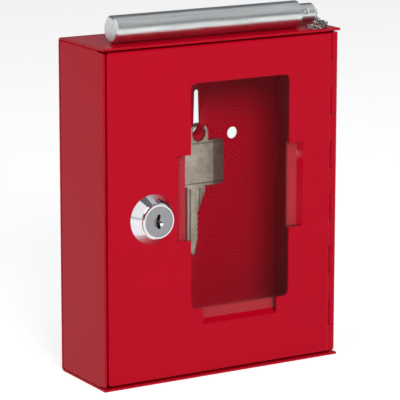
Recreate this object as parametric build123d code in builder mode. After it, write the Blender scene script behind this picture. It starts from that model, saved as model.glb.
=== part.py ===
"""Break glass key box: a shallow red sheet-steel box for one spare key.

The case is a folded wrap (top, back and bottom) with two side walls spot welded
between its plates. A pan door swings on a long rolled hinge at the right. Behind the
door's window a glass pane stands in three joggled tabs, a cam lock closes the door
from the left, the key hangs on a hook lanced out of the back, and a steel striker
lies on top of the box, tied to it by a fine chain.

Frame: millimetres, +Z up, the door faces -Y, the hinge is on the +X side, and the
origin is the centre of the underside.
"""
import os
from math import asin, atan2, cos, degrees, radians, sin, sqrt

from build123d import *

os.makedirs("parts", exist_ok=True)

# ---------------------------------------------------------------- driving sizes
# Case
box_width = 120.0
box_height = 150.0
box_depth = 40.0
sheet = 1.0
case_bend = 2.0          # outer radius of the two folds at the back
weld_flange = 8.0        # inward flanges of the side walls
flange_bend = 0.9        # outer radius of their folds
flange_relief = 3.0      # how far the flanges stop short of each other
wall_relief_height = 0.9  # lowered front corner of each side wall
wall_relief_depth = 5.0
wall_relief_radius = 0.8
wall_hole_spacing = 56.0
wall_hole_height = 99.3
wall_hole_diameter = 5.5

# Hook lanced out of the back panel
hook_offset = 0.6        # from the window's middle to the hook
hook_root_z = 100.4
hook_stand_off = 5.0     # gap between the panel and the upright leg's middle
hook_tip_z = 114.8
hook_root_width = 3.6
hook_tip_width = 2.4
hook_bend = 1.4
slot_top_z = 120.8

# Hinge
knuckle_diameter = 4.0
pin_diameter = 2.0
pin_clearance = 0.05
pin_chamfer = 0.25
knuckle_count = 12
knuckle_gap = 0.2
barrel_setback = 0.8     # barrel front behind the door face
leaf_clearance = 0.4     # between one leaf and the other leaf's knuckles
leaf_lap = 1.5           # hinge leaf behind the door's face

# Door
door_end_gap = 0.95      # under the top plate and over the bottom plate
door_side_gap = 1.0      # to the left wall
door_flange = 6.0        # depth of the bent rim
door_edge_bend = 0.9
door_corner = 2.0
door_hinge_edge = 4.6    # from the case's right side to the end of the flat face
rim_end_gap = 8.0        # from the case's right side to the end of the rim

# Window, tabs and pane
window_width = 50.5
window_height = 100.5
lock_to_window = 19.45   # from the lock's axis to the window's left edge
window_z = 81.3
window_corner = 2.8
notch_depth = 7.4        # from the window's edge to the root of a tab
tab_length = 38.0
tab_reach = 6.3          # from the root to the free edge
joggle_run = 1.9
tab_bend = 0.45
pane_thickness = 2.0
pane_clearance = 0.15
pane_side_gap = 2.5      # from a tab's root to the pane's edge
pane_above_window = 5.5

# Cam lock
lock_inset = 23.7        # from the case's left side
lock_z = 74.2
rosette_diameter = 22.0
rosette_top_diameter = 15.9
rosette_height = 4.7
rosette_rim = 0.4
lock_head_diameter = 15.5
lock_head_height = 1.3
lock_head_bevel = 0.35
barrel_diameter = 13.0
barrel_clearance = 0.1
barrel_behind_door = 14.0
plug_diameter = 10.0
plug_head_diameter = 13.3
plug_head_depth = 1.2
plug_head_recess = 0.1
plug_clearance = 0.06
keyway_width = 1.7
keyway_height = 6.5
keyway_depth = 16.0
keyway_wing = 1.7        # side lobe of the keyway
keyway_wing_height = 0.85
keyway_wing_drop = 0.55
dimple_diameter = 5.2
dimple_depth = 1.3
wafer_count = 5
wafer_thickness = 0.9
wafer_pitch = 2.4
wafer_width = 3.4
wafer_first = 1.6        # first wafer's depth behind the plug's head
nut_across_flats = 18.0
nut_thickness = 3.0
nut_chamfer = 0.3
lock_washer_thickness = 0.6
lock_washer_diameter = 17.0
stop_washer_thickness = 0.8
stop_washer_diameter = 11.0
tang_side = 6.0
cam_thickness = 1.5
cam_length = 20.5
cam_hub_diameter = 13.0
cam_width = 9.0
cam_screw_diameter = 3.0
cam_screw_head = 6.5
cam_screw_head_height = 1.8
cam_screw_head_round = 1.0
cam_screw_length = 6.0
cam_screw_tip_gap = 1.2
cam_screw_slot = 3.9
cam_screw_slot_width = 0.8
cam_screw_slot_depth = 1.0
cam_washer_thickness = 0.5
cam_washer_diameter = 9.0
cam_gap = 0.5            # cam to the keeper
part_gap = 0.05          # between flat faces that turn on each other

# Keeper for the cam and stop for the door
keeper_height = 32.0
keeper_stop_reach = 4.5
keeper_reach = 7.0
keeper_stop_gap = 0.4    # door rim to the stop

# Spare key
key_thickness = 2.0
key_back_gap = 0.2       # to the back panel
key_eye_diameter = 7.0
key_eye_wall = 1.3
key_hang_clearance = 0.2
key_bow_width = 26.8
key_bow_height = 20.8
key_bow_top = 3.3        # below the eye's centre
key_bow_corner = 2.6
key_bevel_width = 6.0
key_bevel_depth = 0.6
key_blade_width = 9.4
key_blade_length = 31.5
key_blade_offset = -1.4  # blade's middle from the eye's middle
key_shoulder_drop = 8.2  # from the bow to the shoulder
key_shoulder_step = 2.2
key_cut_depth = 3.7
key_cuts_start = 11.3    # from the bow to the first cut
key_cuts_end = 5.0       # from the last cut to the tip
key_tip_slope = 2.6
key_tip_width = 1.1
key_tooth_count = 6
key_tooth_height = 0.7
key_groove_depth = 0.7
key_groove_inset = 0.45
key_groove_width = 1.3
key_groove_top = 1.0
key_groove_end = 4.0     # from the groove to the tip
key_short_groove = 0.7   # width of the two short grooves, and of the ridge between
key_short_groove_step = 2.0

# Striker and its chain
striker_diameter = 12.0
striker_left_inset = 10.0   # from the case's left side
striker_right_inset = 16.0  # from the case's right side to the rod's shoulder
striker_setback = 11.6      # from the case's front to the rod's middle
striker_chamfer = 0.9
striker_neck_diameter = 8.8
striker_neck_length = 8.5
striker_neck_round = 1.0
striker_clearance = 0.05  # over the top plate
striker_roll = 20.0      # how far the cross hole looks up, degrees
cross_hole_diameter = 2.6
cross_hole_reach = 2.6   # from the rod's shoulder
cross_countersink = 3.6
neck_bore_diameter = 5.4
eye_wire = 0.8           # wire of the eye held by the cross pin
eye_width = 4.9
eye_clearance = 0.15
eye_reach = 2.7          # out of the neck's end
link_wire = 0.5
link_length = 3.3
link_width = 2.4
link_play = 0.28         # slack at each joint of the chain
link_rest_gap = 0.05     # over the top plate
link_hook = 0.38         # from the chain's ends to the wires that they hang on
link_lay = 45.0          # links lie tilted this way and that
settling_links = 4       # links between the eye and the lying ones
rising_links = 5         # links that rise before the anchor ring
hang_angle = 58.8        # first link on the eye's bend, below the level
hang_direction = (0.11, -0.26, -1.0)
rivet_inset = 33.0       # from the case's right side
rivet_setback = 29.5     # from the case's front
rivet_diameter = 3.2
rivet_head_diameter = 6.0
rivet_head_height = 1.1
rivet_head_round = 0.8
rivet_head_clearance = 0.1
rivet_tail_diameter = 4.6
rivet_tail_height = 1.2
anchor_ring_wire = 0.9
anchor_ring_diameter = 7.4
anchor_ring_slack = 1.0  # the ring is pulled this far off the rivet's centre

# ------------------------------------------------------------- derived places
half_width = box_width / 2
half_depth = box_depth / 2
front_y = -half_depth
panel_y = half_depth - sheet                     # inner face of the back panel
inner_top = box_height - sheet
wall_inner_x = half_width - sheet
knuckle_radius = knuckle_diameter / 2
hinge_x = half_width - knuckle_radius
hinge_y = front_y + barrel_setback + knuckle_radius
door_bottom = sheet + door_end_gap
door_top = inner_top - door_end_gap
door_left = -wall_inner_x + door_side_gap
door_right = half_width - door_hinge_edge
knuckle_pitch = (door_top - door_bottom) / knuckle_count
leaf_stop = hinge_x - knuckle_radius - leaf_clearance
lock_x = lock_inset - half_width
window_left = lock_x + lock_to_window
window_right = window_left + window_width
window_x = (window_left + window_right) / 2
hook_x = window_x + hook_offset
window_bottom = window_z - window_height / 2
window_top = window_z + window_height / 2
pane_front = front_y + sheet + pane_clearance
tab_front = pane_front + pane_thickness + pane_clearance
tab_drop = tab_front - front_y                   # how far a tab stands behind the face
rosette_top = rosette_height
lock_face = rosette_height + lock_head_height
barrel_radius = barrel_diameter / 2
barrel_rear = -barrel_behind_door
bore_radius = plug_diameter / 2 + plug_clearance
plug_head_rear = lock_face - plug_head_depth
stop_front = barrel_rear - part_gap
cam_front = stop_front - stop_washer_thickness - part_gap
cam_rear = cam_front - cam_thickness
cam_y = front_y - cam_front                      # front face of the cam in the case
keeper_back = cam_y - cam_gap
keeper_front = front_y + door_flange + keeper_stop_gap
striker_left = striker_left_inset - half_width
striker_right = half_width - striker_right_inset
striker_y = front_y + striker_setback
striker_z = box_height + striker_clearance + striker_diameter / 2
neck_end = striker_right + striker_neck_length
cross_hole_x = striker_right + cross_hole_reach
rivet_x = half_width - rivet_inset
rivet_y = front_y + rivet_setback


def knuckle_rows(first):
    """Lower ends of every other knuckle, counted from the top of the barrel."""
    return [door_top - (row + 1) * knuckle_pitch + knuckle_gap / 2
            for row in range(first, knuckle_count, 2)]


def box_between(low, high):
    """A box between two opposite corners, as a free-standing shape."""
    size = [high[axis] - low[axis] for axis in range(3)]
    corner = (Align.MIN, Align.MIN, Align.MIN)
    return Pos(*low) * Box(*size, align=corner, mode=Mode.PRIVATE)


# ------------------------------------------------------------------ case shell
# Hook tab: the panel's own sheet, bent forward at 45 degrees and then upright.
sheet_middle = half_depth - sheet / 2
hook_upright_y = panel_y - hook_stand_off
hook_knee_z = hook_root_z + sheet_middle - hook_upright_y

with BuildPart() as hook_tab:
    with BuildSketch(Plane.YZ.offset(hook_x - hook_root_width / 2)):
        with BuildLine():
            FilletPolyline(
                (sheet_middle, hook_root_z - 2 * sheet),
                (sheet_middle, hook_root_z),
                (hook_upright_y, hook_knee_z),
                (hook_upright_y, hook_tip_z),
                radius=hook_bend,
            )
        trace(line_width=sheet)
    extrude(amount=hook_root_width)
    with BuildSketch(Plane.XZ.offset(-half_depth)):
        with BuildLine():
            tip_corner = hook_tip_z - hook_tip_width / 2
            Polyline(
                (hook_x - hook_tip_width / 2, tip_corner),
                (hook_x - hook_root_width / 2, hook_root_z),
                (hook_x - hook_root_width / 2, hook_root_z - 3 * sheet),
                (hook_x + hook_root_width / 2, hook_root_z - 3 * sheet),
                (hook_x + hook_root_width / 2, hook_root_z),
                (hook_x + hook_tip_width / 2, tip_corner),
            )
            ThreePointArc(
                (hook_x + hook_tip_width / 2, tip_corner),
                (hook_x, hook_tip_z),
                (hook_x - hook_tip_width / 2, tip_corner),
            )
        make_face()
    extrude(amount=box_depth, mode=Mode.INTERSECT)

with BuildPart() as case_shell:
    with BuildSketch(Plane.YZ.offset(-half_width)) as wrap:
        with Locations((0, box_height / 2)):
            Rectangle(box_depth, box_height)
        fillet(wrap.vertices().group_by(Axis.X)[-1], case_bend)
        with Locations((-sheet, box_height / 2)):
            Rectangle(box_depth, box_height - 2 * sheet, mode=Mode.SUBTRACT)
        inner_corners = [v for v in wrap.vertices() if abs(v.X - panel_y) < sheet / 4]
        fillet(inner_corners, case_bend - sheet)
    extrude(amount=box_width)
    with BuildSketch(Plane.XZ.offset(-half_depth)):
        with Locations((0, wall_hole_height)):
            with GridLocations(wall_hole_spacing, 1, 2, 1):
                Circle(wall_hole_diameter / 2)
        with BuildLine():
            slot_corner = slot_top_z - hook_tip_width / 2
            Polyline(
                (hook_x - hook_tip_width / 2, slot_corner),
                (hook_x - hook_root_width / 2, hook_root_z),
                (hook_x + hook_root_width / 2, hook_root_z),
                (hook_x + hook_tip_width / 2, slot_corner),
            )
            ThreePointArc(
                (hook_x + hook_tip_width / 2, slot_corner),
                (hook_x, slot_top_z),
                (hook_x - hook_tip_width / 2, slot_corner),
            )
        make_face()
    extrude(amount=2 * sheet, mode=Mode.SUBTRACT)
    with Locations((rivet_x, rivet_y, box_height)):
        Hole(rivet_diameter / 2 + pin_clearance, depth=2 * sheet)
    add(hook_tab.part)
case_shell.part.label = "case_shell"
export_step(case_shell.part, "parts/case_shell.step")


# ------------------------------------------------------------------ side walls
def side_wall(side):
    """A wall between the plates with its three weld flanges; side is -1 or +1."""
    outer = side * half_width
    inner = side * wall_inner_x
    tip = side * (wall_inner_x - weld_flange)
    with BuildPart() as wall:
        with BuildSketch(Plane.YZ.offset(min(outer, inner))) as outline:
            with Locations(((front_y + panel_y) / 2, box_height / 2)):
                Rectangle(panel_y - front_y, box_height - 2 * sheet)
            with Locations(
                (front_y, sheet + wall_relief_height / 2),
                (front_y, inner_top - wall_relief_height / 2),
            ):
                Rectangle(2 * wall_relief_depth, wall_relief_height, mode=Mode.SUBTRACT)
            fillet(outline.vertices().group_by(Axis.X)[0], wall_relief_radius)
            fillet(outline.vertices().group_by(Axis.X)[-1], case_bend)
        extrude(amount=sheet)
        low, high = min(tip, inner), max(tip, inner)
        flange_front = front_y + wall_relief_depth + flange_relief
        flange_back = panel_y - flange_relief
        add(box_between((low, flange_front, sheet), (high, flange_back, 2 * sheet)))
        add(box_between((low, flange_front, inner_top - sheet), (high, flange_back, inner_top)))
        add(box_between(
            (low, panel_y - sheet, sheet + flange_relief),
            (high, panel_y, inner_top - flange_relief),
        ))
        folds = [e for e in wall.edges().filter_by(Axis.Y)
                 if abs(e.center().X - outer) < pin_clearance and e.length > box_depth / 2]
        fillet(folds, flange_bend)
    return wall


left_side_wall = side_wall(-1)
left_side_wall.part.label = "left_side_wall"
export_step(left_side_wall.part, "parts/left_side_wall.step")

body_rows = knuckle_rows(0)
door_rows = knuckle_rows(1)
knuckle_length = knuckle_pitch - knuckle_gap
plain_wall = side_wall(1)

with BuildPart() as right_side_wall:
    add(plain_wall.part)
    # the wall stops behind the barrel and reaches it only at its own knuckles
    add(box_between(
        (wall_inner_x - sheet, front_y - sheet, 0),
        (half_width + sheet, hinge_y + knuckle_radius + leaf_clearance, box_height),
    ), mode=Mode.SUBTRACT)
    for low in body_rows:
        add(box_between(
            (wall_inner_x, hinge_y, low),
            (half_width, hinge_y + knuckle_diameter, low + knuckle_length),
        ))
        with BuildSketch(Plane.XY.offset(low)):
            with Locations((hinge_x, hinge_y)):
                Circle(knuckle_radius)
        extrude(amount=knuckle_length)
        with BuildSketch(Plane.XY.offset(low)):
            with Locations((hinge_x, hinge_y)):
                Circle(pin_diameter / 2 + pin_clearance)
        extrude(amount=knuckle_length, mode=Mode.SUBTRACT)
right_side_wall.part.label = "right_side_wall"
export_step(right_side_wall.part, "parts/right_side_wall.step")

with BuildPart() as hinge_pin:
    with BuildSketch(Plane.XY.offset(door_bottom)):
        with Locations((hinge_x, hinge_y)):
            Circle(pin_diameter / 2)
    extrude(amount=door_top - door_bottom)
    chamfer(hinge_pin.edges().filter_by(GeomType.CIRCLE), pin_chamfer)
hinge_pin.part.label = "hinge_pin"
export_step(hinge_pin.part, "parts/hinge_pin.step")

with BuildPart() as latch_keeper:
    with BuildSketch(Plane.XY.offset(lock_z - keeper_height / 2)) as channel:
        with BuildLine():
            Polyline(
                (-wall_inner_x, keeper_front),
                (-wall_inner_x + keeper_stop_reach, keeper_front),
                (-wall_inner_x + keeper_stop_reach, keeper_front + sheet),
                (-wall_inner_x + sheet, keeper_front + sheet),
                (-wall_inner_x + sheet, keeper_back - sheet),
                (-wall_inner_x + keeper_reach, keeper_back - sheet),
                (-wall_inner_x + keeper_reach, keeper_back),
                (-wall_inner_x, keeper_back),
                close=True,
            )
        make_face()
        fillet(channel.vertices().group_by(Axis.X)[0], sheet)
    extrude(amount=keeper_height)
latch_keeper.part.label = "latch_keeper"
export_step(latch_keeper.part, "parts/latch_keeper.step")

# ------------------------------------------------------------------------ door
# Places of the three pane tabs: root point, direction towards the window, run of
# the tab along its root.
tab_places = (
    Plane((window_left - notch_depth, front_y, window_z), x_dir=(1, 0, 0), z_dir=(0, 0, 1)),
    Plane((window_right + notch_depth, front_y, window_z), x_dir=(-1, 0, 0), z_dir=(0, 0, -1)),
    Plane((window_x, front_y, window_bottom - notch_depth), x_dir=(0, 0, 1), z_dir=(-1, 0, 0)),
)


def pane_tab(place):
    """A tab of the door's sheet, joggled back behind the pane."""
    with BuildPart() as tab:
        with BuildSketch(place.offset(-tab_length / 2)) as bent:
            with BuildLine():
                Polyline(
                    (-sheet, 0),
                    (0, 0),
                    (joggle_run, tab_drop),
                    (tab_reach, tab_drop),
                    (tab_reach, tab_drop + sheet),
                    (joggle_run - sheet / 2, tab_drop + sheet),
                    (-sheet / 2, sheet),
                    (-sheet, sheet),
                    close=True,
                )
            make_face()
            bends = [v for v in bent.vertices() if -sheet < v.X < joggle_run + sheet / 4]
            fillet(bends, tab_bend)
        extrude(amount=tab_length)
    return tab


tabs = [pane_tab(place) for place in tab_places]

with BuildPart() as door_panel:
    # pan: a rounded block hollowed from behind and open at the hinge side
    with BuildSketch(Plane.XZ.offset(-front_y)) as face:
        with Locations(((door_left + door_right) / 2, (door_bottom + door_top) / 2)):
            Rectangle(door_right - door_left, door_top - door_bottom)
        fillet(face.vertices().group_by(Axis.X)[0], door_corner)
    extrude(amount=-door_flange)
    fillet(door_panel.faces().sort_by(Axis.Y)[0].edges(), door_edge_bend)
    add(box_between(
        (door_left + sheet, front_y + sheet, door_bottom + sheet),
        (half_width, front_y + 2 * door_flange, door_top - sheet),
    ), mode=Mode.SUBTRACT)
    # the rim stops before the hinge, and its corners are open
    add(box_between(
        (half_width - rim_end_gap, front_y + sheet, 0),
        (half_width, front_y + 2 * door_flange, box_height),
    ), mode=Mode.SUBTRACT)
    open_corner = door_corner + sheet
    for low in (door_bottom, door_top - open_corner):
        add(box_between(
            (door_left, front_y + door_corner, low),
            (door_left + open_corner, front_y + 2 * door_flange, low + open_corner),
        ), mode=Mode.SUBTRACT)
    # hinge leaf: set back behind the face, rolled round the pin in its own rows
    leaf_front = hinge_y - knuckle_radius
    add(box_between(
        (door_right - leaf_lap, leaf_front, door_bottom),
        (leaf_stop, leaf_front + sheet, door_top),
    ))
    for low in door_rows:
        add(box_between(
            (leaf_stop, leaf_front, low),
            (hinge_x, leaf_front + sheet, low + knuckle_length),
        ))
        with BuildSketch(Plane.XY.offset(low)):
            with Locations((hinge_x, hinge_y)):
                Circle(knuckle_radius)
        extrude(amount=knuckle_length)
        with BuildSketch(Plane.XY.offset(low)):
            with Locations((hinge_x, hinge_y)):
                Circle(pin_diameter / 2 + pin_clearance)
        extrude(amount=knuckle_length, mode=Mode.SUBTRACT)
    # window with its three notches, and the lock's hole
    with BuildSketch(Plane.XZ.offset(-front_y)) as opening:
        with Locations((window_x, window_z)):
            RectangleRounded(window_width, window_height, window_corner)
            Rectangle(window_width + 2 * notch_depth, tab_length)
        with Locations((window_x, window_bottom)):
            Rectangle(tab_length, 2 * notch_depth)
        with Locations((lock_x, lock_z)):
            Circle(barrel_radius + barrel_clearance)
    extrude(amount=-2 * sheet, mode=Mode.SUBTRACT)
    for tab in tabs:
        add(tab.part)
door_panel.part.label = "door_panel"
export_step(door_panel.part, "parts/door_panel.step")

with BuildPart() as glass_pane:
    pane_left = window_left - notch_depth + pane_side_gap
    pane_right = window_right + notch_depth - pane_side_gap
    pane_bottom = window_bottom - notch_depth + pane_side_gap
    add(box_between(
        (pane_left, pane_front, pane_bottom),
        (pane_right, pane_front + pane_thickness, window_top + pane_above_window),
    ))
    chamfer(glass_pane.edges(), pane_clearance)
glass_pane.part.label = "glass_pane"
export_step(glass_pane.part, "parts/glass_pane.step")

# ------------------------------------------------------------------------ lock
# Turned pieces are drawn as radius and height over the door's face, then revolved.
lock_axis = Axis((lock_x, front_y, lock_z), (0, -1, 0))
lock_section = Plane((lock_x, front_y, lock_z), x_dir=(1, 0, 0), z_dir=(0, 0, -1))
lock_face_plane = Plane((lock_x, front_y, lock_z), x_dir=(1, 0, 0), z_dir=(0, -1, 0))

with BuildPart() as lock_rosette:
    rosette_bore = barrel_radius + barrel_clearance
    with BuildSketch(lock_section):
        with BuildLine():
            Polyline(
                (rosette_top_diameter / 2, rosette_top),
                (rosette_bore, rosette_top),
                (rosette_bore, 0),
                (rosette_diameter / 2, 0),
                (rosette_diameter / 2, rosette_rim),
            )
            ThreePointArc(
                (rosette_diameter / 2, rosette_rim),
                ((rosette_diameter + rosette_top_diameter) / 4 + rosette_rim,
                 (rosette_rim + rosette_top) / 2),
                (rosette_top_diameter / 2, rosette_top),
            )
        make_face()
    revolve(axis=lock_axis)
lock_rosette.part.label = "lock_rosette"
export_step(lock_rosette.part, "parts/lock_rosette.step")

with BuildPart() as lock_body:
    head_bore = plug_head_diameter / 2 + plug_clearance
    head_radius = lock_head_diameter / 2
    with BuildSketch(lock_section):
        with BuildLine():
            Polyline(
                (bore_radius, barrel_rear),
                (barrel_radius, barrel_rear),
                (barrel_radius, rosette_top),
                (head_radius, rosette_top),
                (head_radius, lock_face - lock_head_bevel),
                (head_radius - lock_head_bevel, lock_face),
                (head_bore, lock_face),
                (head_bore, plug_head_rear - part_gap),
                (bore_radius, plug_head_rear - part_gap),
                close=True,
            )
        make_face()
    revolve(axis=lock_axis)
lock_body.part.label = "lock_body"
export_step(lock_body.part, "parts/lock_body.step")

wafer_depths = [plug_head_rear - wafer_first - row * wafer_pitch for row in range(wafer_count)]

with BuildPart() as lock_plug:
    plug_face = lock_face - plug_head_recess
    with BuildSketch(lock_section):
        with BuildLine():
            Polyline(
                (0, barrel_rear),
                (plug_diameter / 2, barrel_rear),
                (plug_diameter / 2, plug_head_rear),
                (plug_head_diameter / 2, plug_head_rear),
                (plug_head_diameter / 2, plug_face - plug_head_recess),
                (plug_head_diameter / 2 - plug_head_recess, plug_face),
                (dimple_diameter / 2, plug_face),
                (0, plug_face - dimple_depth),
                close=True,
            )
        make_face()
    revolve(axis=lock_axis)
    with BuildSketch(lock_face_plane.offset(cam_rear)):
        Rectangle(tang_side, tang_side)
    extrude(amount=barrel_rear - cam_rear)
    with BuildSketch(lock_face_plane.offset(plug_face)):
        SlotOverall(keyway_height, keyway_width, rotation=90)
        with Locations((keyway_width / 2, -keyway_wing_drop)):
            Rectangle(keyway_wing, keyway_wing_height)
    extrude(amount=-keyway_depth, mode=Mode.SUBTRACT)
    for depth in wafer_depths:
        with BuildSketch(lock_face_plane.offset(depth + plug_clearance)):
            Rectangle(wafer_width + 2 * plug_clearance, plug_diameter + sheet)
        extrude(amount=-wafer_thickness - 2 * plug_clearance, mode=Mode.SUBTRACT)
    with BuildSketch(lock_face_plane.offset(cam_rear)):
        Circle(cam_screw_diameter / 2)
    extrude(amount=cam_screw_length + cam_screw_tip_gap, mode=Mode.SUBTRACT)
lock_plug.part.label = "lock_plug"
export_step(lock_plug.part, "parts/lock_plug.step")

with BuildPart() as lock_wafers:
    for depth in wafer_depths:
        with BuildSketch(lock_face_plane.offset(depth)):
            Circle(plug_diameter / 2)
            Rectangle(wafer_width, plug_diameter, mode=Mode.INTERSECT)
            Rectangle(keyway_width + 2 * plug_clearance, keyway_height, mode=Mode.SUBTRACT)
        extrude(amount=-wafer_thickness)
lock_wafers.part.label = "lock_wafers"
export_step(lock_wafers.part, "parts/lock_wafers.step")

with BuildPart() as lock_washer:
    with BuildSketch(lock_face_plane.offset(-sheet)):
        Circle(lock_washer_diameter / 2)
        Circle(barrel_radius + barrel_clearance, mode=Mode.SUBTRACT)
    extrude(amount=-lock_washer_thickness)
lock_washer.part.label = "lock_washer"
export_step(lock_washer.part, "parts/lock_washer.step")

with BuildPart() as lock_nut:
    with BuildSketch(lock_face_plane.offset(-sheet - lock_washer_thickness)):
        RegularPolygon(nut_across_flats / 2, 6, major_radius=False, rotation=30)
        Circle(barrel_radius + barrel_clearance, mode=Mode.SUBTRACT)
    extrude(amount=-nut_thickness)
    chamfer(lock_nut.edges().filter_by(GeomType.CIRCLE), nut_chamfer)
lock_nut.part.label = "lock_nut"
export_step(lock_nut.part, "parts/lock_nut.step")

with BuildPart() as stop_washer:
    with BuildSketch(lock_face_plane.offset(stop_front)):
        Circle(stop_washer_diameter / 2)
        with Locations((stop_washer_diameter / 2, 0)):
            Rectangle(tang_side / 2, tang_side / 2)
        Rectangle(tang_side + part_gap, tang_side + part_gap, mode=Mode.SUBTRACT)
    extrude(amount=-stop_washer_thickness)
stop_washer.part.label = "stop_washer"
export_step(stop_washer.part, "parts/stop_washer.step")

with BuildPart() as lock_cam:
    with BuildSketch(lock_face_plane.offset(cam_front)):
        Circle(cam_hub_diameter / 2)
        with Locations((0, (cam_length - cam_width / 2) / 2)):
            Rectangle(cam_width, cam_length - cam_width / 2)
        with Locations((0, cam_length - cam_width / 2)):
            Circle(cam_width / 2)
        Rectangle(tang_side + part_gap, tang_side + part_gap, mode=Mode.SUBTRACT)
    extrude(amount=-cam_thickness)
lock_cam.part.label = "lock_cam"
export_step(lock_cam.part, "parts/lock_cam.step")

with BuildPart() as cam_washer:
    with BuildSketch(lock_face_plane.offset(cam_rear - part_gap)):
        Circle(cam_washer_diameter / 2)
        Circle(cam_screw_diameter / 2 + part_gap, mode=Mode.SUBTRACT)
    extrude(amount=-cam_washer_thickness)
cam_washer.part.label = "cam_washer"
export_step(cam_washer.part, "parts/cam_washer.step")

with BuildPart() as cam_screw:
    screw_seat = cam_rear - part_gap - cam_washer_thickness
    with BuildSketch(lock_face_plane.offset(screw_seat)):
        Circle(cam_screw_head / 2)
    extrude(amount=-cam_screw_head_height)
    fillet(cam_screw.edges().filter_by(GeomType.CIRCLE).sort_by(Axis.Y)[-1], cam_screw_head_round)
    with BuildSketch(lock_face_plane.offset(screw_seat)):
        Circle(cam_screw_diameter / 2 - part_gap)
    extrude(amount=cam_screw_length)
    with BuildSketch(lock_face_plane.offset(screw_seat - cam_screw_head_height)):
        for turn in (0, 90):
            SlotOverall(cam_screw_slot, cam_screw_slot_width, rotation=turn)
    extrude(amount=cam_screw_slot_depth, mode=Mode.SUBTRACT)
cam_screw.part.label = "cam_screw"
export_step(cam_screw.part, "parts/cam_screw.step")

# ------------------------------------------------------------------- spare key
# The eye hangs over the hook's sloping leg, so its height follows from the leg's
# upper side where the key's front face meets it.
key_back = panel_y - key_back_gap
key_front = key_back - key_thickness
eye_radius = key_eye_diameter / 2
eye_drop = eye_radius - sqrt(eye_radius**2 - (hook_root_width / 2) ** 2)
leg_top = hook_root_z + sheet_middle - key_front + sheet / 2 * sqrt(2)
eye_z = leg_top + eye_drop + key_hang_clearance - eye_radius
bow_top = eye_z - key_bow_top
bow_bottom = bow_top - key_bow_height
blade_tip = bow_bottom - key_blade_length
blade_left = hook_x + key_blade_offset - key_blade_width / 2
blade_right = blade_left + key_blade_width
cut_edge = blade_right - key_cut_depth
shoulder_z = bow_bottom - key_shoulder_drop
teeth_top = bow_bottom - key_cuts_start
teeth_bottom = blade_tip + key_cuts_end

key_teeth = []
tooth_pitch = (teeth_top - teeth_bottom) / key_tooth_count
for tooth in range(key_tooth_count):
    top = teeth_top - tooth * tooth_pitch
    key_teeth.append((cut_edge, top))
    key_teeth.append((cut_edge - key_tooth_height, top - tooth_pitch / 2))

with BuildPart() as stored_key:
    with BuildSketch(Plane.XZ.offset(-key_back)) as outline:
        with Locations((hook_x, eye_z)):
            Circle(eye_radius + key_eye_wall)
            Rectangle(2 * (eye_radius + key_eye_wall), 2 * key_bow_top + key_bow_corner,
                      align=(Align.CENTER, Align.MAX))
        with Locations((hook_x, (bow_top + bow_bottom) / 2)):
            RectangleRounded(key_bow_width, key_bow_height, key_bow_corner)
        with BuildLine():
            Polyline(
                (blade_right, bow_bottom + key_bow_corner),
                (blade_left, bow_bottom + key_bow_corner),
                (blade_left, blade_tip + key_blade_width / 2),
                (blade_left + key_tip_slope, blade_tip),
                (blade_left + key_tip_slope + key_tip_width, blade_tip),
                *reversed(key_teeth),
                (blade_right - key_shoulder_step, shoulder_z),
                (blade_right, bow_bottom - key_bow_corner),
                close=True,
            )
        make_face()
        with Locations((hook_x, eye_z)):
            Circle(eye_radius, mode=Mode.SUBTRACT)
    extrude(amount=key_thickness)
    # both long sides of the bow are bevelled towards the front
    with BuildSketch(Plane.XY.offset(bow_bottom)) as bevels:
        for side in (-1, 1):
            edge = hook_x + side * key_bow_width / 2
            with BuildLine():
                Polyline(
                    (edge + side, key_front - sheet),
                    (edge - side * key_bevel_width, key_front - sheet),
                    (edge - side * key_bevel_width, key_front),
                    (edge, key_front + key_bevel_depth),
                    (edge + side, key_front + key_bevel_depth),
                    close=True,
                )
            make_face()
    extrude(amount=key_bow_height, mode=Mode.SUBTRACT)
    # milled grooves along the blade: one long, two short ones by the shoulder
    groove_floor = key_front + key_groove_depth
    groove_left = blade_left + key_groove_inset
    add(box_between(
        (groove_left, key_front - sheet, blade_tip + key_groove_end),
        (groove_left + key_groove_width, groove_floor, bow_bottom - key_groove_top),
    ), mode=Mode.SUBTRACT)
    for step in (0, 1):
        left = cut_edge + key_groove_inset + 2 * step * key_short_groove
        shorter = step * key_short_groove_step
        add(box_between(
            (left, key_front - sheet, shoulder_z - key_short_groove_step + shorter),
            (left + key_short_groove, groove_floor, bow_bottom - key_groove_top - shorter),
        ), mode=Mode.SUBTRACT)
stored_key.part.label = "stored_key"
export_step(stored_key.part, "parts/stored_key.step")

# --------------------------------------------------------------------- striker
striker_axis = Axis((0, striker_y, striker_z), (1, 0, 0))
striker_section = Plane((0, striker_y, striker_z), x_dir=(1, 0, 0), z_dir=(0, -1, 0))
roll = radians(striker_roll)
hole_direction = (0, -cos(roll), sin(roll))
hole_plane = Plane((cross_hole_x, striker_y, striker_z), x_dir=(1, 0, 0), z_dir=hole_direction)
neck_radius = striker_neck_diameter / 2
pin_radius = cross_hole_diameter / 2 - pin_clearance
# The eye goes round the cross pin inside the neck's bore and reaches out of it.
eye_left = cross_hole_x - pin_radius - eye_clearance - eye_wire
eye_right = neck_end + eye_reach
neck_bore_floor = eye_left - eye_clearance

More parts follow.
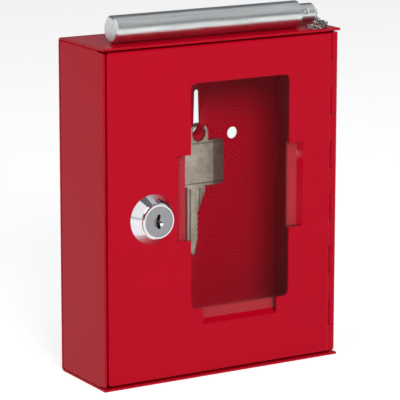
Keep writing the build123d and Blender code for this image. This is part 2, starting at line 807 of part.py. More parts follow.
with BuildPart() as striker_rod:
    rod_radius = striker_diameter / 2
    with BuildSketch(striker_section):
        with BuildLine():
            Polyline(
                (striker_left, 0),
                (striker_left, rod_radius - striker_chamfer),
                (striker_left + striker_chamfer, rod_radius),
                (striker_right - striker_chamfer / 2, rod_radius),
                (striker_right, rod_radius - striker_chamfer / 2),
                (striker_right, neck_radius),
                (neck_end - striker_neck_round, neck_radius),
                (neck_end, neck_radius - striker_neck_round),
                (neck_end, neck_bore_diameter / 2),
                (neck_bore_floor, neck_bore_diameter / 2),
                (neck_bore_floor, 0),
                close=True,
            )
        make_face()
    revolve(axis=striker_axis)
    with BuildSketch(hole_plane.offset(-striker_diameter / 2)):
        Circle(cross_hole_diameter / 2)
    extrude(amount=striker_diameter, mode=Mode.SUBTRACT)
    sink = (cross_countersink - cross_hole_diameter) / 2
    for direction in (1, -1):
        with BuildSketch(hole_plane.offset(direction * neck_radius)):
            Circle(cross_countersink / 2)
        extrude(amount=-direction * sink, taper=45, mode=Mode.SUBTRACT)
striker_rod.part.label = "striker_rod"
export_step(striker_rod.part, "parts/striker_rod.step")

with BuildPart() as striker_pin:
    with BuildSketch(hole_plane.offset(-neck_radius + sink)):
        Circle(pin_radius)
    extrude(amount=striker_neck_diameter - 2 * sink)
striker_pin.part.label = "striker_pin"
export_step(striker_pin.part, "parts/striker_pin.step")


def oval_link(plane, length, width, wire):
    """A closed link of round wire, its long way along the plane's x axis."""
    straight = length - width
    with BuildPart() as link:
        with BuildLine(plane) as loop:
            radius = (width - wire) / 2
            upper = Line((-straight / 2, radius), (straight / 2, radius))
            RadiusArc(upper @ 1, (straight / 2, -radius), radius)
            lower = Line((straight / 2, -radius), (-straight / 2, -radius))
            RadiusArc(lower @ 1, upper @ 0, radius)
        with BuildSketch(Plane(upper @ 0, z_dir=upper % 0)):
            Circle(wire / 2)
        sweep(path=loop.wires()[0])
    return link


eye_middle = ((eye_left + eye_right) / 2, striker_y, striker_z)
eye_plane = Plane(eye_middle, x_dir=(1, 0, 0), z_dir=hole_direction)
striker_eye = oval_link(eye_plane, eye_right - eye_left, eye_width, eye_wire)
striker_eye.part.label = "striker_eye"
export_step(striker_eye.part, "parts/striker_eye.step")

# ------------------------------------------------------------ chain and rivet
# The chain hangs from the eye's bend, lies about on the top plate and ends at a ring
# that is held loosely under the rivet's head, with its edge raised by the last link.
lying_rise = (link_width - link_wire) / 2 * sin(radians(link_lay)) + link_wire / 2
lying_z = box_height + link_rest_gap + lying_rise
upright_z = box_height + link_rest_gap + link_width / 2
ring_low = box_height + link_rest_gap + anchor_ring_wire / 2
ring_radius = (anchor_ring_diameter - anchor_ring_wire) / 2
ring_tilt = asin((upright_z - ring_low) / (2 * ring_radius))


def over_plate(links_in, links_back, height):
    """A place over the top plate, counted in links from its right and front edges."""
    return Vector(
        half_width - links_in * link_length, front_y + links_back * link_length, height
    )


eye_bend = (eye_width - eye_wire) / 2
hang_turn = radians(hang_angle)
bend_middle = eye_plane.origin + eye_plane.x_dir * (eye_right - eye_left - eye_width) / 2
outward = eye_plane.x_dir * cos(hang_turn) - eye_plane.y_dir * sin(hang_turn)
eye_run = eye_plane.x_dir * sin(hang_turn) + eye_plane.y_dir * cos(hang_turn)
first_forward = Vector(hang_direction) - eye_run * Vector(hang_direction).dot(eye_run)
first_forward = first_forward.normalized()
chain_start = bend_middle + outward * eye_bend - first_forward * link_hook

last_bend = over_plate(6.485, 7.273, (lying_z + upright_z) / 2)
rivet_foot = Vector(rivet_x, rivet_y, last_bend.Z)
heading = (last_bend - rivet_foot).normalized()
ring_middle = Vector(rivet_x, rivet_y, (upright_z + ring_low) / 2) + heading * anchor_ring_slack
ring_long = heading * cos(ring_tilt) + Vector(0, 0, sin(ring_tilt))
chain_end = ring_middle + ring_long * ring_radius - heading * link_hook

chain_line = Spline(
    chain_start,
    chain_start + first_forward * (link_length / 2 - link_hook),
    over_plate(1.718, 2.988, box_height + 0.715 * link_length),
    over_plate(1.494, 2.633, box_height + 0.53 * link_length),
    over_plate(2.591, 1.982, lying_z),
    over_plate(3.03, 1.818, lying_z),
    over_plate(3.736, 1.77, lying_z),
    over_plate(4.364, 0.736, lying_z),
    over_plate(3.518, 0.379, lying_z),
    over_plate(2.152, 0.818, lying_z),
    over_plate(1.242, 1.636, lying_z),
    over_plate(0.606, 2.667, lying_z),
    over_plate(0.394, 3.879, lying_z),
    over_plate(0.727, 5.091, lying_z),
    over_plate(1.848, 5.788, lying_z),
    over_plate(3.061, 5.485, lying_z),
    over_plate(4.242, 5.485, lying_z),
    over_plate(5.333, 6.242, lying_z),
    last_bend,
    over_plate(7.697, 8.0, upright_z),
    chain_end,
)
link_pitch = link_length - 2 * link_wire - link_play
link_count = 2 * round(chain_line.length / link_pitch / 2)
link_joints = [chain_line @ (index / link_count) for index in range(link_count + 1)]


def link_axes(index):
    """Directions of one link: along the chain, level across it and upward."""
    forward = (link_joints[index + 1] - link_joints[index]).normalized()
    side = forward.cross(Vector(0, 0, 1)).normalized()
    return forward, side, side.cross(forward)


first_side, first_upward = link_axes(0)[1:]
first_roll = degrees(atan2(eye_run.dot(first_side), eye_run.dot(first_upward)))
link_planes = []
for index in range(link_count):
    forward, side, upward = link_axes(index)
    settling = max(1 - index / settling_links, 0)
    rising = max(1 - (link_count - 1 - index) / rising_links, 0)
    turned = (first_roll + link_lay) * settling + link_lay * rising - link_lay
    roll = radians(90 * index + turned)
    across = upward * cos(roll) + side * sin(roll)
    middle = (link_joints[index] + link_joints[index + 1]) / 2
    link_planes.append(Plane(middle, x_dir=forward, z_dir=across))

link = oval_link(Plane.XY, link_length, link_width, link_wire)

with BuildPart() as chain_links:
    with Locations(*[plane.location for plane in link_planes]):
        add(link.part)
chain_links.part.label = "chain_links"
export_step(chain_links.part, "parts/chain_links.step")

with BuildPart() as anchor_ring:
    with BuildSketch(Plane(ring_middle, x_dir=ring_long, z_dir=ring_long.cross(Vector(0, 0, 1)))):
        with Locations((ring_radius, 0)):
            Circle(anchor_ring_wire / 2)
    revolve(axis=Axis(ring_middle, ring_long.cross(heading.cross(Vector(0, 0, 1)))))
anchor_ring.part.label = "anchor_ring"
export_step(anchor_ring.part, "parts/anchor_ring.step")

head_seat = ring_middle.Z + anchor_ring_wire / 2 + rivet_head_clearance
with BuildPart() as chain_rivet:
    with BuildSketch(Plane.XY.offset(head_seat)):
        with Locations((rivet_x, rivet_y)):
            Circle(rivet_head_diameter / 2)
    extrude(amount=rivet_head_height)
    fillet(chain_rivet.edges().sort_by(Axis.Z)[-1], rivet_head_round)
    with BuildSketch(Plane.XY.offset(inner_top)):
        with Locations((rivet_x, rivet_y)):
            Circle(rivet_diameter / 2)
    extrude(amount=head_seat - inner_top)
    with BuildSketch(Plane.XY.offset(inner_top)):
        with Locations((rivet_x, rivet_y)):
            Circle(rivet_tail_diameter / 2)
    extrude(amount=-rivet_tail_height)
chain_rivet.part.label = "chain_rivet"
export_step(chain_rivet.part, "parts/chain_rivet.step")
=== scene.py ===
"""The finishes, the chain, the lock's collar and the light of the break glass key box.

The sheet metal, the pane, the lock, the key and the striker keep their solids and get
their finishes here. The chain is taken apart into its links. The lock's collar is turned
again with a straight flank, so that it mirrors the door below it.
"""
from math import cos, pi, radians, sin

import bmesh
import bpy
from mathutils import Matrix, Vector


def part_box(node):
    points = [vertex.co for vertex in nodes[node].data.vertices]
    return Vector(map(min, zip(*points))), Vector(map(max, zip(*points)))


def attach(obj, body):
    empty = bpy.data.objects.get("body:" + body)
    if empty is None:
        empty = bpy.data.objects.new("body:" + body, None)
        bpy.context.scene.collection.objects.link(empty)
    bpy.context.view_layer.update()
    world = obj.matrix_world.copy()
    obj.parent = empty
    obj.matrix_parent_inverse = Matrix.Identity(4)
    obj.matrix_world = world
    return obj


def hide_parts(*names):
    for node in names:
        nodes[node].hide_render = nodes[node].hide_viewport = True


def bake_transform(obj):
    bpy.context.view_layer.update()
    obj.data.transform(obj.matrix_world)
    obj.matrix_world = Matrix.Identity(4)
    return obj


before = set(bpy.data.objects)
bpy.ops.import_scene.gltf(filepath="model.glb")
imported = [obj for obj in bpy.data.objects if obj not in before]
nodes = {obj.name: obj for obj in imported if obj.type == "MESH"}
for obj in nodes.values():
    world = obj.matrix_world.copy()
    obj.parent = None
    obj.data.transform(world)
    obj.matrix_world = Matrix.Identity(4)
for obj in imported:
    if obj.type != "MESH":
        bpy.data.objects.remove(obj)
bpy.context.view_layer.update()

MM = 0.001
MICRON = 0.001 * MM

# How far each finish rounds its sharp edges
COAT_ROUND = 0.3 * MM
CHROME_ROUND = 0.22 * MM
KEY_ROUND = 0.5 * MM
PIN_ROUND = 0.4 * MM
WIRE_ROUND = 0.05 * MM
EDGE_TURN = (0.004, 0.07)   # where a rounded normal's turn begins to count, and is full

# The key's two stamped lines, below its top
BOW_LINES = (9.2 * MM, 27.6 * MM)
BOW_LINE_WIDTH = 0.35 * MM

# What the pane reaches past the window, at its sides and foot and at its top
PANE_SIDE_LAP = 4.9 * MM
PANE_TOP_LAP = 5.5 * MM

# The spacing of the lathe's rings
PLUG_RING_PITCH = 0.34 * MM
BAR_RING_PITCH = 0.62 * MM
BAR_END_DEPTH = 0.08 * MM   # how deep the bar's turned end goes in from its left
BAR_END_BLEND = 0.06 * MM

SPOT_DECIMALS = 7           # points alike to so many decimals of a metre are one
BLEND_REACH = 40.0          # so many metres from each link's foot to its head
SEARCH_STEPS = 40           # halvings, when a share of the way is looked for

COLLAR_BORE = 13.2 * MM / 2
COLLAR_RIM = 0.4 * MM       # the collar's straight rim on the door
COLLAR_LEDGE = 0.2 * MM     # from the lock's head to the cone
COLLAR_STEPS = 160
COLLAR_EDGE = 0.12 * MM     # the round on its corners
COLLAR_EDGE_SEGMENTS = 2
COLLAR_CORNER = radians(20)

FLOOR_HALF = 8.0
FLOOR_PAINT = (0.7, 0.7, 0.7)
FLOOR_GLOW = 0.67           # with the paint it makes white
WHITE = (1.0, 1.0, 1.0)
OVERHEAD_GREY = (0.17, 0.175, 0.185)
BACKDROP_FADE = (0.03, 0.13)    # from white to the grey, in the height of a direction

PHOTO_PIXELS = 400
FOCAL_PIXELS = 2486.5
SENSOR = 36.0
CAMERA_PLACE = (-0.5526, -0.9265, 0.3144)
CAMERA_DOWN, CAMERA_ROLL, CAMERA_RIGHT = 12.194, -0.055, 30.726     # degrees
CAMERA_SHIFT = (0.00575, -0.036)
CAMERA_CLIP = (0.05, 60.0)


def middle(node):
    low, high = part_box(node)
    return (low + high) / 2


LOCK_CENTRE = middle("lock_plug")
STRIKER_AXIS = middle("striker_rod")
STRIKER_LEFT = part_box("striker_rod")[0].x
KEY_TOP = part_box("stored_key")[1].z
PANE_LOW, PANE_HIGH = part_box("glass_pane")
WINDOW = (
    PANE_LOW.x + PANE_SIDE_LAP,
    PANE_HIGH.x - PANE_SIDE_LAP,
    PANE_LOW.z + PANE_SIDE_LAP,
    PANE_HIGH.z - PANE_TOP_LAP,
)


# ------------------------------------------------------------------ shader tools
class Signal:
    """What changes over a surface; sums and products of numbers add their nodes."""

    def __init__(self, finish, socket):
        self.finish = finish
        self.socket = socket

    def _with(self, operation, *values):
        return self.finish.node(
            "ShaderNodeMath", {"operation": operation}, dict(enumerate(values))
        )

    def __add__(self, other):
        return self._with("ADD", self, other)

    def __sub__(self, other):
        return self._with("SUBTRACT", self, other)

    def __rsub__(self, other):
        return self._with("SUBTRACT", other, self)

    def __mul__(self, other):
        return self._with("MULTIPLY", self, other)

    __radd__ = __add__
    __rmul__ = __mul__

    def sine(self):
        return self._with("SINE", self)

    def root(self):
        return self._with("SQRT", self)

    def size(self):
        return self._with("ABSOLUTE", self)

    def larger(self, other):
        return self._with("MAXIMUM", self, other)

    def between(self, low, high):
        """0 below low, 1 above high and smooth in the middle."""
        return self.finish.node(
            "ShaderNodeMapRange",
            {"interpolation_type": "SMOOTHSTEP"},
            {"Value": self, "From Min": low, "From Max": high},
        )


def from_axis(across, up):
    """The distance from an axis, out of the distances across and up."""
    return (across * across + up * up).root()


def opaque(colour):
    """A colour as a socket takes it; a signal stays as it is."""
    return colour if isinstance(colour, Signal) else (*colour, 1.0)


class Finish:
    """A node tree in the making: a material's, or the world's."""

    def __init__(self, owner):
        self.owner = owner
        owner.use_nodes = True
        self.tree = owner.node_tree
        self.tree.nodes.clear()

    def node(self, kind, settings=None, sockets=None, output=0):
        made = self.tree.nodes.new(kind)
        for name, value in (settings or {}).items():
            setattr(made, name, value)
        for name, value in (sockets or {}).items():
            if isinstance(value, Signal):
                self.tree.links.new(value.socket, made.inputs[name])
            else:
                made.inputs[name].default_value = value
        return Signal(self, made.outputs[output]) if made.outputs else None

    def place(self):
        """The point on the piece, in the row frame, in metres."""
        return self.node("ShaderNodeTexCoord", output="Object")

    def axes(self, vector):
        split = self.node("ShaderNodeSeparateXYZ", None, {0: vector})
        outputs = split.socket.node.outputs
        return [Signal(self, outputs[axis]) for axis in range(3)]

    def stretched(self, vector, scale):
        return self.node(
            "ShaderNodeMapping",
            {"vector_type": "POINT"},
            {"Vector": vector, "Scale": scale},
        )

    def noise(self, vector, scale=1.0, detail=3.0, rough=0.5):
        return self.node(
            "ShaderNodeTexNoise",
            None,
            {"Vector": vector, "Scale": scale, "Detail": detail, "Roughness": rough},
        )

    def mix(self, amount, first, second):
        """Two colours in the given share of the second."""
        return self.node(
            "ShaderNodeMix",
            {"data_type": "RGBA"},
            {0: amount, 6: opaque(first), 7: opaque(second)},
            output=2,
        )

    def bump(self, height, depth, under=None):
        """A normal with relief of the given depth, laid over the one under it."""
        sockets = {"Height": height, "Distance": depth}
        if under is not None:
            sockets["Normal"] = under
        return self.node("ShaderNodeBump", None, sockets)

    def rounded(self, radius):
        """The surface's normal with its sharp edges rounded off."""
        return self.node("ShaderNodeBevel", {"samples": 4}, {"Radius": radius}, "Normal")

    def edges(self, radius):
        """1 along the sharp edges, 0 on the flats."""
        flat = self.node("ShaderNodeNewGeometry", output="Normal")
        alike = self.node(
            "ShaderNodeVectorMath",
            {"operation": "DOT_PRODUCT"},
            {0: self.rounded(radius), 1: flat},
            "Value",
        )
        return (1 - alike).between(*EDGE_TURN)

    def shell(self, sockets):
        return self.node("ShaderNodeBsdfPrincipled", None, sockets)

    def done(self, surface, kind="ShaderNodeOutputMaterial"):
        self.node(kind, None, {"Surface": surface})
        return self.owner


def new_finish(name):
    return Finish(bpy.data.materials.new(name))


# ---------------------------------------------------------------------- finishes
def powder_coat():
    """Glossy red powder coat with a fine orange peel, a faint cloudiness and a painted
    highlight along its sharp edges.
    """
    finish = new_finish("red powder coat")
    deep, bright = (0.555, 0.0010, 0.0165), (0.600, 0.0016, 0.0190)
    # speck is the lighter grain; edge is the lighter pink of the painted highlight along
    # the sharp edges
    speck, edge = (0.66, 0.006, 0.026), (0.72, 0.06, 0.09)
    place = finish.place()
    clouds = finish.noise(place, scale=55.0, detail=2.0)
    peel = finish.noise(place, scale=620.0, detail=2.0, rough=0.4)
    grain = finish.noise(place, scale=5200.0, detail=1.0)
    colour = finish.mix(clouds, deep, bright)
    colour = finish.mix(grain.between(0.62, 0.8) * 0.2, colour, speck)
    # painted highlight: the sharp edges are mixed towards a lighter pink, as if they
    # caught the light
    colour = finish.mix(finish.edges(COAT_ROUND) * 0.15, colour, edge)
    waves = finish.bump(peel, depth=8 * MICRON, under=finish.rounded(COAT_ROUND))
    return finish.done(finish.shell({
        "Base Color": colour,
        "Roughness": 0.07 + clouds * 0.05 + grain * 0.03,
        "IOR": 1.45,
        "Specular IOR Level": 0.08,
        "Normal": finish.bump(grain, depth=0.8 * MICRON, under=waves),
    }))


def chrome():
    """Bright chrome plate with faint fingerprints and hairlines, and painted shade along
    its sharp edges.
    """
    finish = new_finish("chrome plate")
    dim, bright = (0.70, 0.69, 0.725), (0.77, 0.76, 0.79)
    # rim is the grey of the painted shade along the sharp edges
    rim = (0.30, 0.31, 0.32)
    place = finish.place()
    smudge = finish.noise(place, scale=160.0)
    hairs = finish.noise(finish.stretched(place, (900.0, 900.0, 9000.0)), detail=2.0)
    colour = finish.mix(smudge, dim, bright)
    return finish.done(finish.shell({
        # painted shade: the sharp edges are darkened towards the rim grey
        "Base Color": finish.mix(finish.edges(CHROME_ROUND) * 0.55, colour, rim),
        "Metallic": 1.0,
        "Roughness": 0.045 + smudge.between(0.5, 0.75) * 0.05,
        "Normal": finish.bump(hairs, depth=0.6 * MICRON),
    }))


def plug_face():
    """The lock's plug as the lathe left it, with fine rings about its axis."""
    finish = new_finish("lock plug face")
    bright = (0.35, 0.345, 0.36)
    dark = tuple(0.8 * part for part in bright)
    place = finish.place()
    x, _, z = finish.axes(place)
    radius = from_axis(x - LOCK_CENTRE.x, z - LOCK_CENTRE.z)
    wobble = finish.noise(place, scale=700.0, detail=2.0)
    rings = (radius * (2 * pi / PLUG_RING_PITCH) + wobble * 2.0).sine()
    return finish.done(finish.shell({
        "Base Color": finish.mix(rings * 0.25 + 0.4, bright, dark),
        "Metallic": 1.0,
        "Roughness": 0.3 + wobble * 0.12,
        "Normal": finish.bump(rings, depth=1.6 * MICRON),
    }))


def drawn_bar():
    """Zinc-plated drawn steel: streaks along the bar, rings on its turned end."""
    finish = new_finish("drawn steel")
    bright, dull, mark = (0.76, 0.79, 0.785), (0.58, 0.61, 0.61), (0.50, 0.51, 0.52)
    place = finish.place()
    x, y, z = finish.axes(place)
    streaks = finish.noise(
        finish.stretched(place, (38.0, 620.0, 620.0)), detail=4.0, rough=0.6
    )
    hairs = finish.noise(finish.stretched(place, (260.0, 9000.0, 9000.0)), detail=2.0)
    marks = finish.noise(place, scale=170.0, detail=4.0, rough=0.65)
    radius = from_axis(y - STRIKER_AXIS.y, z - STRIKER_AXIS.z)
    end = (STRIKER_LEFT + BAR_END_DEPTH - x).between(0.0, BAR_END_BLEND)
    rings = (radius * (2 * pi / BAR_RING_PITCH) + marks * 5.0).sine() * 0.5 + 0.5
    colour = finish.mix(streaks.between(0.3, 0.7), bright, dull)
    grain = finish.bump(streaks, depth=70 * MICRON)
    grain = finish.bump(hairs, depth=1.2 * MICRON, under=grain)
    return finish.done(finish.shell({
        "Base Color": finish.mix(marks.between(0.58, 0.74) * 0.4, colour, mark),
        "Metallic": 1.0,
        "Roughness": 0.22 + marks * 0.16 + end * 0.08,
        "Normal": finish.bump(rings * end, depth=12 * MICRON, under=grain),
    }))


def plated(name, bright, dull, grain_scale, roughness, depth):
    """Plated or plain metal with a fine grain and dull patches."""
    finish = new_finish(name)
    place = finish.place()
    grain = finish.noise(place, scale=grain_scale, rough=0.6)
    patches = finish.noise(place, scale=210.0)
    return finish.done(finish.shell({
        "Base Color": finish.mix(patches * 0.6 + grain * 0.4, bright, dull),
        "Metallic": 1.0,
        "Roughness": roughness + patches * 0.1 + grain * 0.06,
        "Normal": finish.bump(grain, depth=depth),
    }))


def tarnished_with_painted_rim_shade(name, bright, dark, patch_scale, roughness, round_over):
    """Small steel parts: bright where they rub, dark in the patches, and painted shade at
    the rims.
    """
    finish = new_finish(name)
    # rim is the near-black of the painted shade at the rims
    rim = (0.06, 0.06, 0.065)
    place = finish.place()
    patches = finish.noise(place, scale=patch_scale, rough=0.6).between(0.38, 0.62)
    grain = finish.noise(place, scale=2600.0, detail=2.0)
    colour = finish.mix(patches, bright, dark)
    return finish.done(finish.shell({
        # painted shade: the rims are darkened nearly to black, as where parts meet
        "Base Color": finish.mix(finish.edges(round_over) * 0.8, colour, rim),
        "Metallic": 1.0,
        "Roughness": roughness + grain * 0.08,
        "Normal": finish.bump(grain, depth=MICRON, under=finish.rounded(round_over)),
    }))


def worn_key():
    """Nickel plate rubbed dull on the flats, with scratches across, and painted shade on
    its rims and in its two stamped lines.
    """
    finish = new_finish("worn nickel plate")
    bright, dull = (0.55, 0.475, 0.40), (0.40, 0.335, 0.27)
    # dark is the colour of the painted shade on the rims and in the stamped lines
    scratch, dark = (0.30, 0.26, 0.22), (0.13, 0.11, 0.09)
    place = finish.place()
    height = finish.axes(place)[2]
    upper, lower = (
        1 - (height - (KEY_TOP - drop)).size().between(BOW_LINE_WIDTH / 2, BOW_LINE_WIDTH)
        for drop in BOW_LINES
    )
    lines = upper.larger(lower)
    across = finish.noise(finish.stretched(place, (300.0, 300.0, 4200.0)), rough=0.6)
    patches = finish.noise(place, scale=260.0, detail=4.0, rough=0.6)
    # painted shade: the rims and the two stamped lines are darkened towards the dark
    # colour
    painted_rim_and_line_shade = (finish.edges(KEY_ROUND) * 0.75).larger(lines * 0.6)
    colour = finish.mix(patches.between(0.3, 0.7), bright, dull)
    colour = finish.mix(across.between(0.6, 0.75) * 0.35, colour, scratch)
    relief = finish.bump(across, depth=6 * MICRON, under=finish.rounded(KEY_ROUND))
    return finish.done(finish.shell({
        "Base Color": finish.mix(painted_rim_and_line_shade, colour, dark),
        "Metallic": 1.0,
        "Roughness": 0.30 + patches * 0.14,
        "Normal": finish.bump(1 - lines, depth=60 * MICRON, under=relief),
    }))


def window_glass():
    """A clear pane with a dusty rim, where the tabs hold it outside the window."""
    finish = new_finish("window glass")
    clear_tint, dust_grey = (0.97, 0.985, 0.98), (0.8, 0.8, 0.8)
    place = finish.place()
    x, _, z = finish.axes(place)
    streaks = finish.noise(finish.stretched(place, (70.0, 70.0, 16.0)))
    dust = finish.noise(place, scale=900.0, detail=4.0, rough=0.7)
    left, right, bottom, top = WINDOW
    beyond = (left - x).larger(x - right).larger(bottom - z).larger(z - top)
    rim = beyond.between(-0.8 * MM, 0.5 * MM) * (0.012 + dust * 0.014)
    clear = finish.node("ShaderNodeBsdfTransparent", None, {"Color": opaque(clear_tint)})
    haze = finish.node("ShaderNodeBsdfDiffuse", None, {"Color": opaque(dust_grey)})
    mirror = finish.node(
        "ShaderNodeBsdfGlossy", None, {"Color": opaque(WHITE), "Roughness": 0.02}
    )
    dusty = finish.node("ShaderNodeMixShader", None, {0: rim, 1: clear, 2: haze})
    glance = finish.node("ShaderNodeFresnel", None, {"IOR": 1.5})
    leaving = finish.node("ShaderNodeNewGeometry", output="Backfacing")
    gloss = (glance * 0.12 + streaks.between(0.55, 0.8) * 0.002) * (1 - leaving)
    return finish.done(
        finish.node("ShaderNodeMixShader", None, {0: gloss, 1: dusty, 2: mirror})
    )


RED = powder_coat()
CHROME = chrome()
PLUG = plug_face()
BAR = drawn_bar()
NICKEL = worn_key()
ZINC = plated(
    "zinc plate", bright=(0.62, 0.62, 0.60), dull=(0.50, 0.50, 0.49),
    grain_scale=1500.0, roughness=0.28, depth=2 * MICRON,
)
BRASS = plated(
    "plain brass", bright=(0.80, 0.58, 0.26), dull=(0.66, 0.46, 0.20),
    grain_scale=1200.0, roughness=0.25, depth=1.5 * MICRON,
)
WIRE = tarnished_with_painted_rim_shade(
    "chain wire", bright=(0.60, 0.57, 0.54), dark=(0.16, 0.145, 0.14),
    patch_scale=700.0, roughness=0.07, round_over=WIRE_ROUND,
)
PIN = tarnished_with_painted_rim_shade(
    "cross pin", bright=(0.80, 0.80, 0.79), dark=(0.62, 0.62, 0.61),
    patch_scale=420.0, roughness=0.14, round_over=PIN_ROUND,
)
GLASS = window_glass()

WEARS = {
    RED: ("case_shell", "left_side_wall", "right_side_wall", "latch_keeper", "door_panel"),
    CHROME: ("lock_rosette", "lock_body"),
    PLUG: ("lock_plug",),
    BRASS: ("lock_wafers",),
    ZINC: ("hinge_pin", "lock_washer", "lock_nut", "stop_washer", "lock_cam", "cam_washer",
           "cam_screw", "chain_rivet"),
    NICKEL: ("stored_key",),
    BAR: ("striker_rod",),
    PIN: ("striker_pin",),
    WIRE: ("striker_eye", "anchor_ring", "chain_links"),
    GLASS: ("glass_pane",),
}
for material, names in WEARS.items():
    for name in names:
        slots = nodes[name].data.materials
        slots.clear()
        slots.append(material)


# ------------------------------------------------------------------------ making
def add_object(mesh):
    """An object of the mesh's own name, in the scene."""
    made = bpy.data.objects.new(mesh.name, mesh)
    bpy.context.scene.collection.objects.link(made)
    return made


def shade_smooth(mesh):
    for polygon in mesh.polygons:
        polygon.use_smooth = True


# ------------------------------------------------------------------------- chain
def loose_parts(mesh):
    """The vertex numbers of each separate piece of a mesh, in the order met."""
    parent = list(range(len(mesh.vertices)))

    def leader(index):
        while parent[index] != index:
            parent[index] = parent[parent[index]]
            index = parent[index]
        return index

    seen = {}
    for vertex in mesh.vertices:
        spot = tuple(round(part, SPOT_DECIMALS) for part in vertex.co)
        other = seen.setdefault(spot, vertex.index)
        parent[leader(vertex.index)] = leader(other)
    for edge in mesh.edges:
        parent[leader(edge.vertices[0])] = leader(edge.vertices[1])
    groups = {}
    for index in range(len(parent)):
        groups.setdefault(leader(index), []).append(index)
    return list(groups.values())


def chain_in_order(groups, mesh, start):
    """The links' order and middles, from the start on to the nearest link each time."""
    middles = []
    for group in groups:
        total = Vector()
        for index in group:
            total += mesh.vertices[index].co
        middles.append(total / len(group))
    left = list(range(len(groups)))
    order = []
    spot = start
    while left:
        nearest = min(left, key=lambda index: (middles[index] - spot).length)
        left.remove(nearest)
        order.append(nearest)
        spot = middles[nearest]
    return order, middles


def smooth_share(weight):
    """The share of the way at which a smooth step reaches the weight."""
    low, high = 0.0, 1.0
    for _ in range(SEARCH_STEPS):
        halfway = (low + high) / 2
        if halfway * halfway * (3 - 2 * halfway) < weight:
            low = halfway
        else:
            high = halfway
    return low


def hang_chain():
    """One piece per link, taken in order along the chain from the striker's eye."""
    mesh = nodes["chain_links"].data
    groups = loose_parts(mesh)
    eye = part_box("striker_eye")[1]
    order, middles = chain_in_order(groups, mesh, Vector((eye.x, STRIKER_AXIS.y, eye.z)))
    for place, index in enumerate(order):
        numbers = {old: new for new, old in enumerate(groups[index])}
        faces = [
            [numbers[corner] for corner in polygon.vertices]
            for polygon in mesh.polygons
            if polygon.vertices[0] in numbers
        ]
        link_mesh = bpy.data.meshes.new(f"link_{place + 1:02d}")
        link_mesh.from_pydata([mesh.vertices[old].co for old in groups[index]], [], faces)
        link_mesh.materials.append(WIRE)
        shade_smooth(link_mesh)
        link = add_object(link_mesh)
        weld = link.modifiers.new("weld", "WELD")
        weld.merge_threshold = MICRON
        lifted = 1 - (place + 0.5) / len(order)
        foot = middles[index] - Vector((0, 0, BLEND_REACH * smooth_share(lifted)))
        head = foot + Vector((0, 0, BLEND_REACH))
        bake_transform(link)
        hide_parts("chain_links")


hang_chain()


# ------------------------------------------------------------------ the lock's collar
def turn_collar():
    """The chrome collar round the lock: a straight cone on a small rim."""
    low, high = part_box("lock_rosette")
    head_low, head_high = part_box("lock_body")
    outer = (high.x - low.x) / 2
    top = (head_high.x - head_low.x) / 2 + COLLAR_LEDGE
    outline = [
        (COLLAR_BORE, high.y),
        (outer, high.y),
        (outer, high.y - COLLAR_RIM),
        (top, low.y),
        (COLLAR_BORE, low.y),
    ]
    ring = len(outline)
    turns = [2 * pi * step / COLLAR_STEPS for step in range(COLLAR_STEPS)]
    points = [
        (LOCK_CENTRE.x + radius * cos(turn), y, LOCK_CENTRE.z + radius * sin(turn))
        for turn in turns
        for radius, y in outline
    ]
    faces = []
    for step in range(COLLAR_STEPS):
        here, there = step * ring, (step + 1) % COLLAR_STEPS * ring
        for corner in range(ring):
            other = (corner + 1) % ring
            faces.append([here + corner, here + other, there + other, there + corner])
    mesh = bpy.data.meshes.new("lock_collar")
    mesh.from_pydata(points, [], faces)
    turned = bmesh.new()
    turned.from_mesh(mesh)
    bmesh.ops.recalc_face_normals(turned, faces=turned.faces)
    turned.to_mesh(mesh)
    turned.free()
    mesh.materials.append(CHROME)
    shade_smooth(mesh)
    collar = add_object(mesh)
    edge = collar.modifiers.new("edge", "BEVEL")
    edge.limit_method = "ANGLE"
    edge.angle_limit = COLLAR_CORNER
    edge.width = COLLAR_EDGE
    edge.segments = COLLAR_EDGE_SEGMENTS
    edge.harden_normals = True
    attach(collar, "door")
    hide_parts("lock_rosette")


turn_collar()


# ------------------------------------------------------------------ floor and light
def background_rays(finish):
    """1 where the camera, a shiny surface or the pane looks at the background, else 0."""
    ray = finish.node("ShaderNodeLightPath").socket.node.outputs
    kinds = ("Camera", "Glossy", "Transmission")
    camera, mirrored, through = (Signal(finish, ray[f"Is {kind} Ray"]) for kind in kinds)
    return camera.larger(mirrored).larger(through)


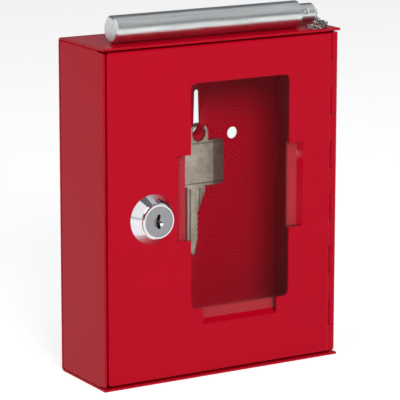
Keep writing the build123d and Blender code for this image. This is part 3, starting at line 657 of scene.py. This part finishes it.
def lay_floor():
    """A plain white table that keeps the box's shadow."""
    far = FLOOR_HALF
    mesh = bpy.data.meshes.new("floor")
    corners = [(-far, -far, 0), (far, -far, 0), (far, far, 0), (-far, far, 0)]
    mesh.from_pydata(corners, [], [(0, 1, 2, 3)])
    floor = add_object(mesh)
    finish = new_finish("white floor")
    paint = finish.node("ShaderNodeBsdfDiffuse", None, {"Color": opaque(FLOOR_PAINT)})
    glow = finish.node(
        "ShaderNodeEmission", None, {"Color": opaque(WHITE), "Strength": FLOOR_GLOW}
    )
    bright = finish.node("ShaderNodeAddShader", None, {0: paint, 1: glow})
    seen = background_rays(finish)
    surface = finish.node("ShaderNodeMixShader", None, {0: seen, 1: paint, 2: bright})
    mesh.materials.append(finish.done(surface))


def light_world():
    """A white backdrop that fades to grey overhead, the same for every ray."""
    world = bpy.data.worlds.new("studio")
    bpy.context.scene.world = world
    finish = Finish(world)
    height = finish.axes(finish.node("ShaderNodeTexCoord", output="Generated"))[2]
    colour = finish.mix(height.between(*BACKDROP_FADE), WHITE, OVERHEAD_GREY)
    background = finish.node(
        "ShaderNodeBackground", None, {"Color": colour, "Strength": 1.0}
    )
    finish.done(background, "ShaderNodeOutputWorld")


def soft_lamp(name, spot, aim, size, watts):
    lamp = bpy.data.lights.new(name, "AREA")
    lamp.shape = "RECTANGLE"
    lamp.size, lamp.size_y = size
    lamp.energy = watts
    holder = bpy.data.objects.new(name, lamp)
    holder.location = spot
    towards = Vector(aim) - Vector(spot)
    holder.rotation_euler = towards.to_track_quat("-Z", "Y").to_euler()
    holder.visible_camera = False
    bpy.context.scene.collection.objects.link(holder)


def set_camera():
    data = bpy.data.cameras.new("camera")
    data.sensor_width = SENSOR
    data.lens = FOCAL_PIXELS / PHOTO_PIXELS * SENSOR
    data.shift_x, data.shift_y = CAMERA_SHIFT
    data.clip_start, data.clip_end = CAMERA_CLIP
    camera = bpy.data.objects.new("camera", data)
    camera.location = CAMERA_PLACE
    camera.rotation_euler = (
        radians(90 - CAMERA_DOWN), radians(CAMERA_ROLL), radians(-CAMERA_RIGHT)
    )
    bpy.context.scene.collection.objects.link(camera)
    bpy.context.scene.camera = camera


lay_floor()
light_world()
soft_lamp(
    "front softbox", spot=(-0.35, -1.35, 0.75), aim=(0.0, 0.0, 0.08),
    size=(0.6, 0.5), watts=11.6,
)
soft_lamp(
    "left softbox", spot=(-1.0, -0.1, 0.85), aim=(0.0, 0.0, 0.1),
    size=(1.1, 1.5), watts=4.6,
)
soft_lamp(
    "overhead softbox", spot=(0.65, -0.3, 1.1), aim=(0.0, 0.0, 0.15),
    size=(1.5, 1.5), watts=3.1,
)
set_camera()

bpy.context.scene.view_settings.view_transform = "Standard"
